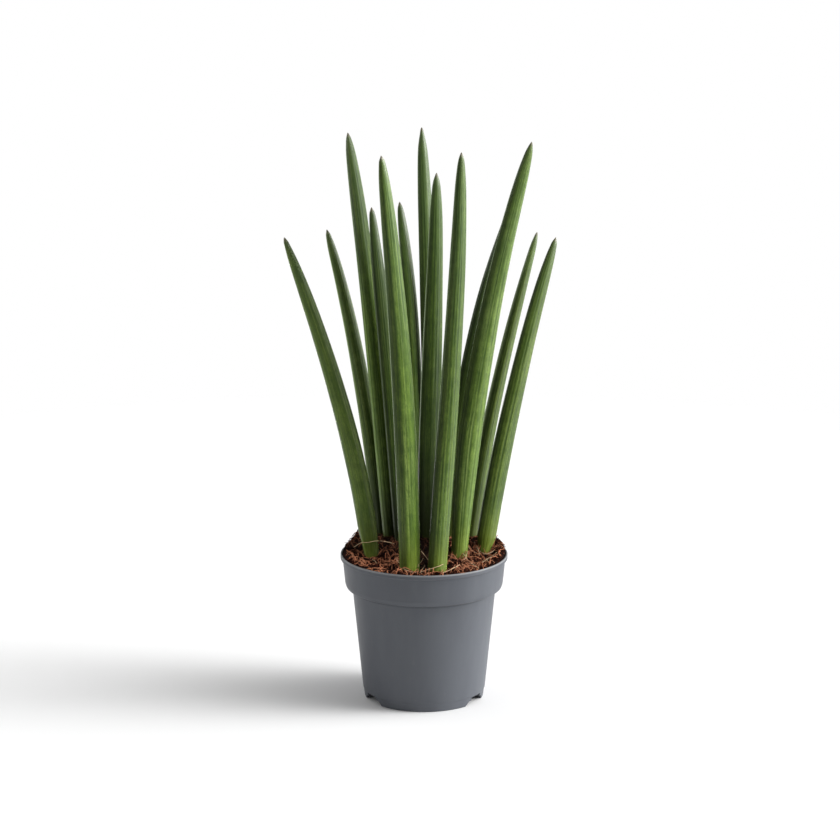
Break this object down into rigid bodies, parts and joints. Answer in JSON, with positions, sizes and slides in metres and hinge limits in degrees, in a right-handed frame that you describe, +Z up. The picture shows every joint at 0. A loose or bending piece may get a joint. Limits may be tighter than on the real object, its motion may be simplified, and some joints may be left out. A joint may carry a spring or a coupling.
{
  "type": "potted cylindrical snake plant",
  "caption": "Cylindrical snake plant: upright round pointed leaves fanning from fibrous potting mix in a round grey plastic nursery pot.",
  "frame": {"origin": "centre of the pot's foot on the ground plane, which is also the bottom centre of the bounding box to within the leaves' uneven spread", "axes": "+Z up along the pot's axis; -Y is the front; +X to the right seen from the front"},
  "size_m": [0.1924, 0.1297, 0.4079],
  "materials": {
    "pot_plastic": "satin blue-grey polypropylene, fine moulding texture",
    "coir_mix": "loose reddish-brown coconut-fibre potting mix, matt",
    "leaf_skin": "waxy green succulent skin with fine lengthwise grooves"
  },
  "bodies": {
    "root": {"nursery_pot": "pot_plastic", "potting_mix": "coir_mix", "leaf_01": "leaf_skin", "leaf_02": "leaf_skin", "leaf_03": "leaf_skin", "leaf_04": "leaf_skin", "leaf_05": "leaf_skin", "leaf_06": "leaf_skin", "leaf_07": "leaf_skin", "leaf_08": "leaf_skin", "leaf_09": "leaf_skin", "leaf_10": "leaf_skin", "leaf_11": "leaf_skin", "leaf_12": "leaf_skin", "leaf_13": "leaf_skin"}
  },
  "joints": []
}
